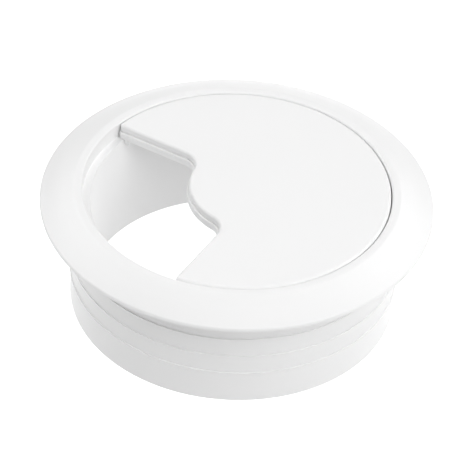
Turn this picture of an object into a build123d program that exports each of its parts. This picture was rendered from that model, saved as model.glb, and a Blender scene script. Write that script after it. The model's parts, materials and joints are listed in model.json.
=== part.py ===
from build123d import *
import os
from math import cos, radians, sin, sqrt

# Desk grommet for a 60 mm hole, in millimetres: a flanged sleeve, and a cap that lies in
# its recess. The cap is two notched discs on one pivot: turning the lower one under the
# upper one opens or closes the cable outlet.
# The origin is on the axis at the desk's surface, +Z is up, and the outlet points to -X.

os.makedirs("parts", exist_ok=True)

# ---- driving dimensions ----

# sleeve, which hangs in the desk's hole
bore_radius = 26.3
sleeve_radius = 29.6
sleeve_depth = 21.3
sleeve_end_round = 0.5
bore_end_round = 0.3

# barb rings round the sleeve, each with a flat top and a sloping underside
barb_height = 0.2
barb_crest = 0.15
barb_slope = 0.65
barb_pitch = 3.9
barb_count = 3
first_barb = 6.6

# flange, which rests on the desk: a low crown from the lip down to a narrow rim
flange_radius = 35.3
flange_rise = 3.3
lip_width = 1.55
lip_round = 1.2
rim_height = 0.65
rim_top_round = 0.35
rim_foot_round = 0.15
crown_lift = 0.2
crown_round = 14

# hollow under the flange, between its foot and the sleeve
foot_width = 1.6
foot_round = 0.2
relief_height = 1.5
relief_edge = 0.45
relief_round = 0.3

# recess that the cap lies in
recess_radius = 27.7
recess_top_round = 0.35
recess_foot_round = 0.15
ledge_height = 0.3
ledge_round = 0.2

# cap discs
disc_radius = 27.5
disc_thickness = 1.45
disc_gap = 0.05
top_round = 0.45
under_round = 0.2

# cable outlet: two straight sides splay out to the rim, and a round bump stands between
# the two round pockets at their inner ends
outlet_side_angle = 45.5
outlet_side_offset = 3.35
outlet_end_round = 0.6
pocket_radius = 3.6
bump_radius = 12
bump_reach = 8.6
shutter_lead = 0.3

# ring under the shutter that centres the cap in the bore
skirt_radius = 26.0
skirt_width = 0.9
skirt_depth = 0.8

# pivot and the boss that it snaps into
boss_radius = 4.0
pin_radius = 2.15
pin_tip_chamfer = 0.3
running_gap = 0.05
socket_depth = 2.3
head_radius = 6.0
head_thickness = 1.2
head_round = 0.6
head_dimple_depth = 0.4

# ---- heights that follow ----

cover_bottom = flange_rise - disc_thickness
shutter_top = cover_bottom - disc_gap
shutter_bottom = shutter_top - disc_thickness
head_top = shutter_bottom - disc_gap
head_bottom = head_top - head_thickness
sleeve_bottom = -sleeve_depth

# ---- outlet outline, shared by the cover and the shutter, given on its +Y half ----

side_angle = radians(outlet_side_angle)
along_side = Vector(-cos(side_angle), sin(side_angle))
into_outlet = Vector(-sin(side_angle), -cos(side_angle))
bump_centre = Vector(bump_radius - bump_reach, 0)

# the pocket's circle touches the side and, from outside, the bump's circle
pocket_foot = (pocket_radius - outlet_side_offset) * into_outlet
centre_distance = bump_radius + pocket_radius
foot_to_bump = pocket_foot - bump_centre
lead_in = foot_to_bump.dot(along_side)
pocket_run = sqrt(lead_in**2 - foot_to_bump.dot(foot_to_bump) + centre_distance**2) - lead_in
pocket_centre = pocket_foot + pocket_run * along_side
side_end = pocket_centre - pocket_radius * into_outlet
bump_end = bump_centre + (pocket_centre - bump_centre) * (bump_radius / centre_distance)

# each side runs on past the rim, so that the cut leaves nothing behind
outer_end = side_end + 2 * disc_radius * along_side

with BuildSketch() as outlet:
    with BuildLine():
        side = Line(outer_end, side_end)
        pocket = TangentArc(side_end, bump_end, tangent=side % 1)
        mirror(about=Plane.XZ)
        ThreePointArc(bump_end, (-bump_reach, 0), (bump_end.X, -bump_end.Y))
        Line(outer_end, (outer_end.X, -outer_end.Y))
    make_face()

# the shutter stands a little into the outlet, so it shows as a line under the cover's edge
with BuildSketch() as shutter_outlet:
    add(outlet.sketch)
    offset(amount=-shutter_lead, kind=Kind.INTERSECTION)

# ---- housing: flange, recess and sleeve in one moulding ----

lip_radius = recess_radius + lip_width
foot_inner = flange_radius - foot_width
crown_radius = (lip_radius + flange_radius) / 2
crown_height = (flange_rise + rim_height) / 2 + crown_lift

with BuildPart() as housing:
    with BuildSketch(Plane.XZ):
        with BuildLine():
            FilletPolyline(
                (bore_radius, sleeve_bottom),
                (sleeve_radius, sleeve_bottom),
                (sleeve_radius, relief_height),
                (foot_inner - relief_edge, relief_edge),
                (foot_inner, 0),
                (flange_radius, 0),
                (flange_radius, rim_height),
                (crown_radius, crown_height),
                (lip_radius, flange_rise),
                (recess_radius, flange_rise),
                (recess_radius, ledge_height),
                (bore_radius, ledge_height),
                radius=[
                    bore_end_round,
                    sleeve_end_round,
                    relief_round,
                    relief_round,
                    foot_round,
                    rim_foot_round,
                    rim_top_round,
                    crown_round,
                    lip_round,
                    recess_top_round,
                    recess_foot_round,
                    ledge_round,
                ],
                close=True,
            )
        make_face()
    revolve(axis=Axis.Z)

    with BuildSketch(Plane.XZ):
        for barb in range(barb_count):
            barb_top = -first_barb - barb * barb_pitch
            with BuildLine():
                Polyline(
                    (sleeve_radius - barb_height, barb_top),
                    (sleeve_radius + barb_height, barb_top),
                    (sleeve_radius + barb_height, barb_top - barb_crest),
                    (sleeve_radius, barb_top - barb_crest - barb_slope),
                    (sleeve_radius - barb_height, barb_top - barb_crest - barb_slope),
                    close=True,
                )
            make_face()
    revolve(axis=Axis.Z)

# ---- cover: upper disc, with the boss under its centre ----

with BuildPart() as cover:
    with BuildSketch(Plane.XY.offset(cover_bottom)) as cover_plan:
        Circle(disc_radius)
        add(outlet.sketch, mode=Mode.SUBTRACT)
        fillet(cover_plan.vertices().group_by(Axis.X)[0], radius=outlet_end_round)
    extrude(amount=disc_thickness)
    fillet(cover.faces().sort_by(Axis.Z)[-1].edges(), radius=top_round)
    chamfer(cover.faces().sort_by(Axis.Z)[0].edges(), length=under_round)

    with BuildSketch(Plane.XY.offset(shutter_bottom)):
        Circle(boss_radius)
    extrude(until=Until.NEXT)

    with BuildSketch(Plane.XY.offset(shutter_bottom)):
        Circle(pin_radius + running_gap)
    extrude(amount=socket_depth, mode=Mode.SUBTRACT)

# ---- shutter: lower disc, with the centring skirt ----

with BuildPart() as shutter:
    with BuildSketch(Plane.XY.offset(shutter_bottom)) as shutter_plan:
        Circle(disc_radius)
        add(shutter_outlet.sketch, mode=Mode.SUBTRACT)
        fillet(shutter_plan.vertices().group_by(Axis.X)[0], radius=outlet_end_round)
        Circle(boss_radius + running_gap, mode=Mode.SUBTRACT)
    extrude(amount=disc_thickness)
    fillet(shutter.faces().sort_by(Axis.Z)[-1].outer_wire().edges(), radius=under_round)
    chamfer(shutter.faces().sort_by(Axis.Z)[0].edges(), length=under_round)

    with BuildSketch(Plane.XY.offset(shutter_bottom - skirt_depth)):
        Circle(skirt_radius)
        Circle(skirt_radius - skirt_width, mode=Mode.SUBTRACT)
        add(shutter_outlet.sketch, mode=Mode.SUBTRACT)
    extrude(amount=skirt_depth)

# ---- pivot: snap plug that holds the two discs together ----

with BuildPart() as pivot:
    with BuildSketch(Plane.XY.offset(head_bottom)):
        Circle(head_radius)
    extrude(amount=head_thickness)
    fillet(pivot.edges().sort_by(Axis.Z)[0], radius=head_round)

    with BuildSketch(Plane.XY.offset(head_top)):
        Circle(pin_radius)
    extrude(amount=socket_depth - disc_gap)
    chamfer(pivot.edges().sort_by(Axis.Z)[-1], length=pin_tip_chamfer)

    with BuildSketch(Plane.XY.offset(head_bottom)):
        Circle(pin_radius)
    extrude(amount=head_dimple_depth, mode=Mode.SUBTRACT)

# ---- labels and files ----

housing.part.label = "housing"
export_step(housing.part, "parts/housing.step")

cover.part.label = "cover"
export_step(cover.part, "parts/cover.step")

shutter.part.label = "shutter"
export_step(shutter.part, "parts/shutter.step")

pivot.part.label = "pivot"
export_step(pivot.part, "parts/pivot.step")
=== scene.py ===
import json
from math import atan2, cos, hypot, pi, radians, sin, sqrt

import bmesh
import bpy
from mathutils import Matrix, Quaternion, Vector


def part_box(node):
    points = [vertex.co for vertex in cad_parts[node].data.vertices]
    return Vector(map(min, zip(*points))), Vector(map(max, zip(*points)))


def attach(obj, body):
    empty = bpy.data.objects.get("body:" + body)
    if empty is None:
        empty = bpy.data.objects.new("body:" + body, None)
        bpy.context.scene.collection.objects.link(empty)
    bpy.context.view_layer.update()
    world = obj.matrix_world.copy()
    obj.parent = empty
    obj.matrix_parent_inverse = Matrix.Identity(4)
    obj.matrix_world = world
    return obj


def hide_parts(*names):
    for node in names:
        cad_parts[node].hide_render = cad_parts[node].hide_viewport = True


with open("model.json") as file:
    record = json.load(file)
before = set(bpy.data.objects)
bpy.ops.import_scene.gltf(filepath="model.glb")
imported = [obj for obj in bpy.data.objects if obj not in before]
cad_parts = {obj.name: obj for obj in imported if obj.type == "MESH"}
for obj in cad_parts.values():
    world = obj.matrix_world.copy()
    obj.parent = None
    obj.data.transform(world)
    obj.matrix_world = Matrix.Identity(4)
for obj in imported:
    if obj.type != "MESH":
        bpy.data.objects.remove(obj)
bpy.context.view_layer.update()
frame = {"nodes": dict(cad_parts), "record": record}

mm = 0.001
print("frame loaded:", sorted(frame["nodes"]))

# places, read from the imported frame
housingLow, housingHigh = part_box("housing")
coverLow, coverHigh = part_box("cover")
shutterLow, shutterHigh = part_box("shutter")
pivotLow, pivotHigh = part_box("pivot")
sleeveMount = next(m for m in frame["record"]["mounts"] if m["name"] == "sleeve")
sleeveRadius = sleeveMount["dims"]["r_mm"] * mm
discRadius = coverHigh.x
bossBottom = coverLow.z  # the boss ends level with the shutter's underside

modelling = {
    "bevelSegments": 5,
    "bevelProfile": 0.5,
    "ringSlack": 2e-6,  # metres, for finding a ring by its place
    "mergeDistance": 1e-7,
    "smoothAngle": radians(35),
}


def deselectAll():
    bpy.ops.object.select_all(action="DESELECT")


def editing(piece, mode):
    deselectAll()
    bpy.context.view_layer.objects.active = piece
    piece.select_set(True)
    bpy.ops.object.mode_set(mode="EDIT")
    bpy.ops.mesh.select_mode(type=mode)


def leaveEditing():
    bpy.ops.object.mode_set(mode="OBJECT")


def selectWhere(piece, kind, test):
    # leaves only those edges or faces selected that pass the test
    bpy.ops.mesh.select_mode(type="EDGE" if kind == "edges" else "FACE")
    bpy.ops.mesh.select_all(action="DESELECT")
    mesh = bmesh.from_edit_mesh(piece.data)
    for item in getattr(mesh, kind):
        if test(item):
            item.select_set(True)
    mesh.select_flush_mode()
    bmesh.update_edit_mesh(piece.data)


def ringTest(radius, height):
    slack = modelling["ringSlack"]

    def test(edge):
        return all(
            abs(hypot(v.co.x, v.co.y) - radius) < slack and abs(v.co.z - height) < slack
            for v in edge.verts
        )
    return test


def bevelEdges(rounding, segments):
    bpy.ops.mesh.bevel(
        offset=rounding, segments=segments, profile=modelling["bevelProfile"], affect="EDGES"
    )


def turnRings(name, rings, steps, closed):
    # rings are (radius, height, rounding); each is extruded from the last and resized
    deselectAll()
    radius, height, _ = rings[0]
    bpy.ops.mesh.primitive_circle_add(
        vertices=steps, radius=radius, fill_type="NOTHING", location=(0, 0, height)
    )
    piece = bpy.context.object
    piece.name = name
    bpy.ops.object.transform_apply(location=True, rotation=True, scale=True)
    editing(piece, "EDGE")
    bpy.ops.mesh.select_all(action="SELECT")
    if not closed:
        bpy.ops.mesh.edge_face_add()
        selectWhere(piece, "edges", ringTest(radius, height))
    for nextRadius, nextHeight, _ in rings[1:]:
        bpy.ops.mesh.extrude_edges_move(
            TRANSFORM_OT_translate={"value": (0, 0, nextHeight - height)}
        )
        growth = nextRadius / radius
        bpy.ops.transform.resize(value=(growth, growth, 1), center_override=(0, 0, 0))
        radius, height = nextRadius, nextHeight
    if closed:
        firstRadius, firstHeight, _ = rings[0]
        isFirst = ringTest(firstRadius, firstHeight)
        isLast = ringTest(radius, height)
        selectWhere(piece, "edges", lambda edge: isFirst(edge) or isLast(edge))
        bpy.ops.mesh.bridge_edge_loops()
    else:
        bpy.ops.mesh.edge_face_add()
    for ringRadius, ringHeight, rounding in rings:
        if rounding:
            selectWhere(piece, "edges", ringTest(ringRadius, ringHeight))
            bevelEdges(rounding, modelling["bevelSegments"])
    leaveEditing()
    closeUp(piece)
    return piece


def closeUp(piece):
    # doubles merged and every face turned outwards
    editing(piece, "FACE")
    bpy.ops.mesh.select_all(action="SELECT")
    bpy.ops.mesh.remove_doubles(threshold=modelling["mergeDistance"])
    bpy.ops.mesh.select_all(action="SELECT")
    bpy.ops.mesh.normals_make_consistent(inside=False)
    leaveEditing()


def cut(piece, tool, operation):
    # joins or cuts with a second closed shape, which is then thrown away
    deselectAll()
    bpy.context.view_layer.objects.active = piece
    piece.select_set(True)
    bpy.ops.object.modifier_add(type="BOOLEAN")
    modifier = piece.modifiers[-1]
    modifier.operation = operation
    modifier.solver = "EXACT"
    modifier.object = tool
    bpy.ops.object.modifier_apply(modifier=modifier.name)
    deselectAll()
    tool.select_set(True)
    bpy.ops.object.delete()


def finishSurface(piece, material, node, body):
    deselectAll()
    bpy.context.view_layer.objects.active = piece
    piece.select_set(True)
    bpy.ops.object.shade_smooth_by_angle(angle=modelling["smoothAngle"])
    bpy.ops.object.modifier_add(type="WEIGHTED_NORMAL")
    piece.modifiers[-1].keep_sharp = True
    bpy.ops.object.modifier_apply(modifier=piece.modifiers[-1].name)
    piece.data.materials.clear()
    piece.data.materials.append(material)
    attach(piece, body)
    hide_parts(node)
    print("piece", piece.name, len(piece.data.polygons), "faces")


# outline of the notched discs
outlet = {
    "sideAngle": radians(45.5),  # of each straight side, from the way the outlet points
    "sideOffset": 3.35 * mm,  # of each side's line from the axis
    "pocketRadius": 3.6 * mm,
    "bumpRadius": 12 * mm,
    "bumpReach": 8.6 * mm,  # from the axis to the bump's tip
    "endRound": 0.6 * mm,
    "shutterLead": 0.3 * mm,  # how far the shutter stands out past the cover
    "toolReach": 5 * mm,  # of the outlet's cutting shape, up and down
}

discs = {
    "thickness": 1.45 * mm,
    "coverRound": 0.5 * mm,
    "coverSteps": 5,
    "underRound": 0.2 * mm,
    "coverUnderSteps": 3,
    "shutterRound": 0.2 * mm,
    "shutterSteps": 4,
    "holdingInset": 0.06 * mm,  # a thin flat border that keeps the face's shading level
    "arcStep": radians(2),
}


def arcPoints(centre, radius, start, end):
    count = max(2, round(abs(end - start) / discs["arcStep"]) + 1)
    turns = [start + (end - start) * k / (count - 1) for k in range(count)]
    return [centre + radius * Vector((cos(t), sin(t))) for t in turns]


def directionOf(vector):
    return atan2(vector.y, vector.x) % (2 * pi)


def sideLines():
    # the straight side on the +Y half: its own direction, and its normal into the outlet
    angle = outlet["sideAngle"]
    return Vector((-cos(angle), sin(angle))), Vector((-sin(angle), -cos(angle)))


def pocketAndBump(lead):
    # from the side's inner end, round the pocket and over to the tip of the bump
    along, inward = sideLines()
    radius = outlet["pocketRadius"]
    bump = Vector((outlet["bumpRadius"] - outlet["bumpReach"], 0))
    foot = (radius - outlet["sideOffset"]) * inward
    reach = outlet["bumpRadius"] + radius
    toFoot = foot - bump
    leadIn = toFoot.dot(along)
    run = sqrt(leadIn ** 2 - toFoot.length_squared + reach ** 2) - leadIn
    pocket = foot + run * along  # touches the side, and the bump's circle from outside
    fromSide, toBump = directionOf(-inward), directionOf(bump - pocket)
    if toBump > fromSide:
        toBump -= 2 * pi
    points = arcPoints(pocket, radius - lead, fromSide, toBump)
    points += arcPoints(bump, outlet["bumpRadius"] + lead, directionOf(pocket - bump), pi)
    return points


def mirrored(points):
    return [Vector((p.x, -p.y)) for p in reversed(points)]


def discOutline(lead):
    along, inward = sideLines()
    inset = outlet["endRound"]
    reach = lead - outlet["sideOffset"] - inset
    run = sqrt((discRadius - inset) ** 2 - reach ** 2)
    endCentre = reach * inward + run * along
    rimDirection = directionOf(endCentre)
    half = arcPoints(endCentre, inset, rimDirection, directionOf(inward))
    half += pocketAndBump(lead)
    rim = arcPoints(Vector((0, 0)), discRadius, -rimDirection, rimDirection)
    return rim[:-1] + half[:-1] + mirrored(half)[:-1]


def outletOutline(lead):
    # the outlet itself, run on past the rim, for cutting
    along, _ = sideLines()
    half = pocketAndBump(lead)
    outer = half[0] + 2 * discRadius * along
    half.insert(0, outer)
    return half[:-1] + mirrored(half)


def prism(name, outline, low, high):
    # a filled circle whose corners are moved onto the outline, then extruded up
    deselectAll()
    bpy.ops.mesh.primitive_circle_add(vertices=len(outline), radius=discRadius, fill_type="NGON")
    piece = bpy.context.object
    piece.name = name
    for vertex, point in zip(piece.data.vertices, outline):
        vertex.co = (point.x, point.y, low)
    editing(piece, "FACE")
    bpy.ops.mesh.select_all(action="SELECT")
    bpy.ops.mesh.extrude_region_move(TRANSFORM_OT_translate={"value": (0, 0, high - low)})
    leaveEditing()
    closeUp(piece)
    return piece


def roundFace(piece, height, rounding, steps):
    # rounds the border of the flat face at this height, then sets the face in a little
    slack = modelling["ringSlack"]

    def isBorder(edge):
        level = all(abs(v.co.z - height) < slack for v in edge.verts)
        return level and any(not isUpright(face) for face in edge.link_faces)

    def isUpright(face):
        return abs(face.normal.z) > cos(modelling["smoothAngle"])

    def isFlat(face):
        return abs(face.calc_center_median().z - height) < slack and isUpright(face)

    editing(piece, "EDGE")
    selectWhere(piece, "edges", isBorder)
    bevelEdges(rounding, steps)
    selectWhere(piece, "faces", isFlat)
    bpy.ops.mesh.inset(thickness=discs["holdingInset"], use_boundary=True)
    leaveEditing()


# materials


class Level:  # a number that varies over a surface
    def __init__(self, paint, socket):
        self.paint = paint
        self.socket = socket

    def combine(self, operation, first, second):
        node = self.paint.add("ShaderNodeMath", {"operation": operation}, {0: first, 1: second})
        return Level(self.paint, node.outputs[0])

    def __add__(self, other):
        return self.combine("ADD", self, other)

    def __radd__(self, other):
        return self.combine("ADD", other, self)

    def __sub__(self, other):
        return self.combine("SUBTRACT", self, other)

    def __rsub__(self, other):
        return self.combine("SUBTRACT", other, self)

    def __mul__(self, other):
        return self.combine("MULTIPLY", self, other)

    def __rmul__(self, other):
        return self.combine("MULTIPLY", other, self)


class Paint:  # the nodes of one material, or of the studio's surroundings
    def __init__(self, owner):
        owner.use_nodes = True
        self.owner = owner
        self.nodes = owner.node_tree.nodes
        self.links = owner.node_tree.links
        self.nodes.clear()

    def add(self, kind, settings=None, values=None):
        node = self.nodes.new(kind)
        for key, value in (settings or {}).items():
            setattr(node, key, value)
        for key, value in (values or {}).items():
            self.feed(node.inputs[key], value)
        return node

    def feed(self, socket, value):
        if isinstance(value, Level):
            value = value.socket
        if isinstance(value, bpy.types.NodeSocket):
            self.links.new(value, socket)
        else:
            socket.default_value = value

    def noise(self, place, scale, detail, roughness):
        node = self.add(
            "ShaderNodeTexNoise",
            {"noise_dimensions": "3D"},
            {"Vector": place, "Scale": scale, "Detail": detail, "Roughness": roughness},
        )
        return Level(self, node.outputs["Fac"])


def grey(level):
    return (level, level, level, 1)


def whitePlastic(name, look):
    paint = Paint(bpy.data.materials.new(name))
    place = paint.add("ShaderNodeTexCoord").outputs["Object"]
    placed = paint.add(
        "ShaderNodeMapping", None, {"Vector": place, "Location": look["centre"]}
    ).outputs["Vector"]
    # the mould's spark-eroded texture, and a slow drift in the plastic
    grain = paint.noise(placed, look["grainScale"], look["grainDetail"], look["grainSharpness"])
    flow = paint.noise(placed, look["flowScale"], look["flowDetail"], look["flowSharpness"])
    tint = paint.add(
        "ShaderNodeMix",
        {"data_type": "RGBA"},
        {"Factor": flow, "A": grey(look["dark"]), "B": grey(look["light"])},
    ).outputs["Result"]
    unevenness = (grain - 0.5) * look["grainRoughness"] + (flow - 0.5) * look["flowRoughness"]
    roughness = look["roughness"] + unevenness
    bump = paint.add(
        "ShaderNodeBump",
        None,
        {"Strength": 1, "Distance": look["grainDepth"], "Height": grain},
    ).outputs["Normal"]
    shader = paint.add(
        "ShaderNodeBsdfPrincipled",
        None,
        {
            "Base Color": tint,
            "Roughness": roughness,
            "Normal": bump,
            "IOR": look["ior"],
            "Specular IOR Level": look["shine"],
        },
    ).outputs["BSDF"]
    paint.add("ShaderNodeOutputMaterial", None, {"Surface": shader})
    return paint.owner


plasticLook = {
    "centre": (0, 0, 0),
    "grainScale": 9000,
    "grainDetail": 3,
    "grainSharpness": 0.6,
    "flowScale": 45,
    "flowDetail": 2,
    "flowSharpness": 0.5,
    "flowRoughness": 0.06,
    "grainDepth": 0.003 * mm,
    "grainRoughness": 0.12,
    "roughness": 0.42,
    "dark": 0.862,
    "light": 0.872,
    "shine": 0.5,
    "ior": 1.5,
}
sleeveLook = dict(plasticLook, roughness=0.4)
coverLook = dict(plasticLook, centre=(0.11, 0.02, 0), roughness=0.45, grainDepth=0.004 * mm)
shutterLook = dict(plasticLook, centre=(0, 0.13, 0.04))
pivotLook = dict(plasticLook, centre=(0.05, 0, 0.2), dark=0.835, light=0.85)

# housing: flange, recess and sleeve
housing = {
    "boreRadius": 26.3 * mm,
    "boreEndRound": 0.3 * mm,
    "sleeveEndRound": 0.5 * mm,
    "firstBarb": -6.6 * mm,
    "barbPitch": 3.9 * mm,
    "barbCount": 3,
    "barbReach": 0.2 * mm,
    "barbCrest": 0.15 * mm,
    "barbSlope": 0.65 * mm,
    "barbRound": 0.05 * mm,
    "barbTopRound": 0.08 * mm,
    "reliefHeight": 1.5 * mm,
    "reliefEdge": 0.45 * mm,
    "reliefRound": 0.3 * mm,
    "footWidth": 1.6 * mm,
    "footRound": 0.08 * mm,
    "rimFootRound": 0.15 * mm,
    "rimHeight": 0.65 * mm,
    "rimTopRound": 0.25 * mm,
    "crownLift": 0.2 * mm,  # how far the flange bulges above a straight cone
    "crownBlend": 0.78 * mm,
    "lipWidth": 1.55 * mm,
    "lipBlend": 0.24 * mm,
    "recessRadius": 27.7 * mm,
    "recessRound": 0.35 * mm,
    "recessFootRound": 0.15 * mm,
    "ledgeHeight": 0.3 * mm,
    "ledgeRound": 0.2 * mm,
    "steps": 240,
}


def housingRings():
    h = housing
    rimRadius = housingHigh.x
    topHeight = housingHigh.z
    lipRadius = h["recessRadius"] + h["lipWidth"]
    footRadius = rimRadius - h["footWidth"]
    crownRadius = (lipRadius + rimRadius) / 2
    crownHeight = (topHeight + h["rimHeight"]) / 2 + h["crownLift"]
    rings = [
        (h["boreRadius"], housingLow.z, h["boreEndRound"]),
        (sleeveRadius, housingLow.z, h["sleeveEndRound"]),
    ]
    for barb in reversed(range(h["barbCount"])):
        barbTop = h["firstBarb"] - barb * h["barbPitch"]
        barbRadius = sleeveRadius + h["barbReach"]
        rings += [
            (sleeveRadius, barbTop - h["barbCrest"] - h["barbSlope"], 0),
            (barbRadius, barbTop - h["barbCrest"], h["barbRound"]),
            (barbRadius, barbTop, h["barbTopRound"]),
            (sleeveRadius, barbTop, h["barbRound"]),
        ]
    rings += [
        (sleeveRadius, h["reliefHeight"], h["reliefRound"]),
        (footRadius - h["reliefEdge"], h["reliefEdge"], h["footRound"]),
        (footRadius, 0, h["footRound"]),
        (rimRadius, 0, h["rimFootRound"]),
        (rimRadius, h["rimHeight"], h["rimTopRound"]),
        (crownRadius, crownHeight, h["crownBlend"]),
        (lipRadius, topHeight, h["lipBlend"]),
        (h["recessRadius"], topHeight, h["recessRound"]),
        (h["recessRadius"], h["ledgeHeight"], h["recessFootRound"]),
        (h["boreRadius"], h["ledgeHeight"], h["ledgeRound"]),
    ]
    return rings


housingPiece = turnRings("housingMoulding", housingRings(), housing["steps"], closed=True)
finishSurface(
    housingPiece, whitePlastic("housingPlastic", sleeveLook), "housing", "housing"
)

# cover, with the boss that the pivot's pin snaps into
boss = {
    "radius": 4.0 * mm,
    "endRound": 0.1 * mm,
    "pinRadius": 2.15 * mm,
    "gap": 0.05 * mm,  # round the pin, and round the boss itself
    "socketDepth": 2.3 * mm,
    "steps": 64,
}

coverBottom = coverHigh.z - discs["thickness"]
coverPiece = prism("coverDisc", discOutline(0), coverBottom, coverHigh.z)
roundFace(coverPiece, coverHigh.z, discs["coverRound"], discs["coverSteps"])
roundFace(coverPiece, coverBottom, discs["underRound"], discs["coverUnderSteps"])

bossRings = [
    (boss["radius"], bossBottom, boss["endRound"]),
    (boss["radius"], coverBottom + discs["thickness"] / 2, 0),
]
cut(coverPiece, turnRings("bossTool", bossRings, boss["steps"], closed=False), "UNION")
socketRadius = boss["pinRadius"] + boss["gap"]
socketRings = [
    (socketRadius, bossBottom - discs["thickness"], 0),
    (socketRadius, bossBottom + boss["socketDepth"], 0),
]
cut(coverPiece, turnRings("socketTool", socketRings, boss["steps"], closed=False), "DIFFERENCE")
closeUp(coverPiece)
finishSurface(coverPiece, whitePlastic("coverPlastic", coverLook), "cover", "cover")

# shutter, with the skirt that centres the cap in the bore
skirt = {
    "radius": 26.0 * mm,
    "width": 0.9 * mm,
    "endRound": 0.1 * mm,
    "bury": 0.3 * mm,
    "setBack": 0.05 * mm,  # of its ends from the shutter's edge
    "steps": 240,
}

shutterBottom = shutterHigh.z - discs["thickness"]
lead = outlet["shutterLead"]
shutterPiece = prism("shutterDisc", discOutline(lead), shutterBottom, shutterHigh.z)
roundFace(shutterPiece, shutterHigh.z, discs["shutterRound"], discs["shutterSteps"])
roundFace(shutterPiece, shutterBottom, discs["underRound"], discs["shutterSteps"])

skirtInner = skirt["radius"] - skirt["width"]
skirtRings = [
    (skirtInner, shutterLow.z, skirt["endRound"]),
    (skirt["radius"], shutterLow.z, skirt["endRound"]),
    (skirt["radius"], shutterBottom + skirt["bury"], 0),
    (skirtInner, shutterBottom + skirt["bury"], 0),
]
skirtPiece = turnRings("skirtTool", skirtRings, skirt["steps"], closed=True)
reach = outlet["toolReach"]
outletTool = prism("outletTool", outletOutline(lead - skirt["setBack"]), -reach, reach)
cut(skirtPiece, outletTool, "DIFFERENCE")
cut(shutterPiece, skirtPiece, "UNION")
holeRings = [
    (boss["radius"] + boss["gap"], shutterBottom - discs["thickness"], 0),
    (boss["radius"] + boss["gap"], shutterHigh.z + discs["thickness"], 0),
]
cut(shutterPiece, turnRings("holeTool", holeRings, boss["steps"], closed=False), "DIFFERENCE")
closeUp(shutterPiece)
finishSurface(
    shutterPiece, whitePlastic("shutterPlastic", shutterLook), "shutter", "shutter"
)

# pivot: head, pin and the dish under the head
pivot = {
    "headThickness": 1.2 * mm,
    "headRound": 0.6 * mm,
    "edgeRound": 0.1 * mm,
    "dish": 0.4 * mm,
    "tip": 0.3 * mm,
    "tipRound": 0.05 * mm,
    "steps": 96,
}

headTop = pivotLow.z + pivot["headThickness"]
pinRadius = boss["pinRadius"]
pivotRings = [
    (pinRadius, pivotLow.z + pivot["dish"], pivot["edgeRound"]),
    (pinRadius, pivotLow.z, pivot["edgeRound"]),
    (pivotHigh.x, pivotLow.z, pivot["headRound"]),
    (pivotHigh.x, headTop, pivot["edgeRound"]),
    (pinRadius, headTop, 0),
    (pinRadius, pivotHigh.z - pivot["tip"], pivot["tipRound"]),
    (pinRadius - pivot["tip"], pivotHigh.z, pivot["tipRound"]),
]
pivotPiece = turnRings("pivotPlug", pivotRings, pivot["steps"], closed=False)
finishSurface(pivotPiece, whitePlastic("pivotPlastic", pivotLook), "pivot", "pivot")

# floor, lights and camera
studio = {
    "floorSize": 6,
    "floorGrey": 0.9,
    "floorGlow": 0.9,
    "horizonBlend": 0.1,
    "skyStrength": 0,
    "groundStrength": 0.77,
    "lampDistance": 1,
    "lampSize": 0.6,
    "lamps": [
        # name, angle to the right of the camera, angle up, watts
        ("highLamp", 0, radians(65), 2.1),
        ("frontLamp", 0, radians(38), 1),
        ("rightFrontLamp", radians(45), radians(38), 4.6),
        ("rightLamp", radians(90), radians(38), 1.6),
        ("rightBackLamp", radians(135), radians(38), 3.3),
        ("leftBackLamp", radians(225), radians(38), 2.9),
        ("leftLamp", radians(270), radians(38), 3.1),
    ],
}

view = {
    "azimuth": radians(-16.25),
    "elevation": radians(39.06),
    "roll": radians(3.21),
    "distance": 605.6 * mm,
    "aimDrop": 11.1 * mm,
    "lens": 260,
    "sensorWidth": 36,
    "nearClip": 10 * mm,
}


def directionTo(azimuth, elevation):
    flat = cos(elevation)
    return Vector((sin(azimuth) * flat, -cos(azimuth) * flat, sin(elevation)))


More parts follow.
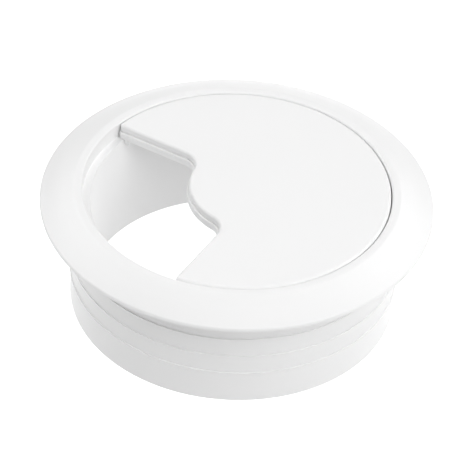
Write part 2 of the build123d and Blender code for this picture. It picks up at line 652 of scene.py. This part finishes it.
def buildFloor():
    deselectAll()
    bpy.ops.mesh.primitive_plane_add(size=studio["floorSize"], location=(0, 0, housingLow.z))
    floor = bpy.context.object
    floor.name = "floor"
    paint = Paint(bpy.data.materials.new("floorPaper"))
    matt = paint.add(
        "ShaderNodeBsdfDiffuse", None, {"Color": grey(studio["floorGrey"]), "Roughness": 1}
    ).outputs["BSDF"]
    glow = paint.add(
        "ShaderNodeEmission", None, {"Color": grey(1), "Strength": studio["floorGlow"]}
    ).outputs["Emission"]
    both = paint.add("ShaderNodeAddShader", None, {0: matt, 1: glow}).outputs["Shader"]
    paint.add("ShaderNodeOutputMaterial", None, {"Surface": both})
    floor.data.materials.append(paint.owner)
    floor.visible_diffuse = False  # the light from below comes from the surroundings instead
    floor.visible_shadow = False


def buildLights():
    paint = Paint(bpy.data.worlds.new("studioWorld"))
    direction = paint.add("ShaderNodeTexCoord").outputs["Generated"]
    height = paint.add("ShaderNodeSeparateXYZ", None, {"Vector": direction}).outputs["Z"]
    strength = paint.add(
        "ShaderNodeMapRange",
        None,
        {
            "Value": height,
            "From Min": -studio["horizonBlend"],
            "From Max": studio["horizonBlend"],
            "To Min": studio["groundStrength"],
            "To Max": studio["skyStrength"],
        },
    ).outputs["Result"]
    glow = paint.add(
        "ShaderNodeBackground", None, {"Color": grey(1), "Strength": strength}
    ).outputs["Background"]
    paint.add("ShaderNodeOutputWorld", None, {"Surface": glow})
    bpy.context.scene.world = paint.owner
    for name, azimuth, elevation, watts in studio["lamps"]:
        place = directionTo(view["azimuth"] + azimuth, elevation) * studio["lampDistance"]
        deselectAll()
        bpy.ops.object.light_add(type="AREA", location=place)
        lamp = bpy.context.object
        lamp.name = name
        lamp.data.shape = "SQUARE"
        lamp.data.size = studio["lampSize"]
        lamp.data.energy = watts
        lamp.rotation_euler = (-place).to_track_quat("-Z", "Y").to_euler()


def buildCamera():
    capTop = Vector((0, 0, coverHigh.z))
    place = capTop + directionTo(view["azimuth"], view["elevation"]) * view["distance"]
    sight = capTop - Vector((0, 0, view["aimDrop"])) - place
    deselectAll()
    bpy.ops.object.camera_add(location=place)
    camera = bpy.context.object
    camera.name = "camera"
    camera.data.sensor_width = view["sensorWidth"]
    camera.data.lens = view["lens"]
    camera.rotation_mode = "QUATERNION"
    tilt = Quaternion((0, 0, 1), view["roll"])
    camera.rotation_quaternion = sight.to_track_quat("-Z", "Y") @ tilt
    camera.data.clip_start = view["nearClip"]
    bpy.context.scene.camera = camera


buildFloor()
buildLights()
buildCamera()
bpy.context.scene.view_settings.view_transform = "Standard"
print("studio built")
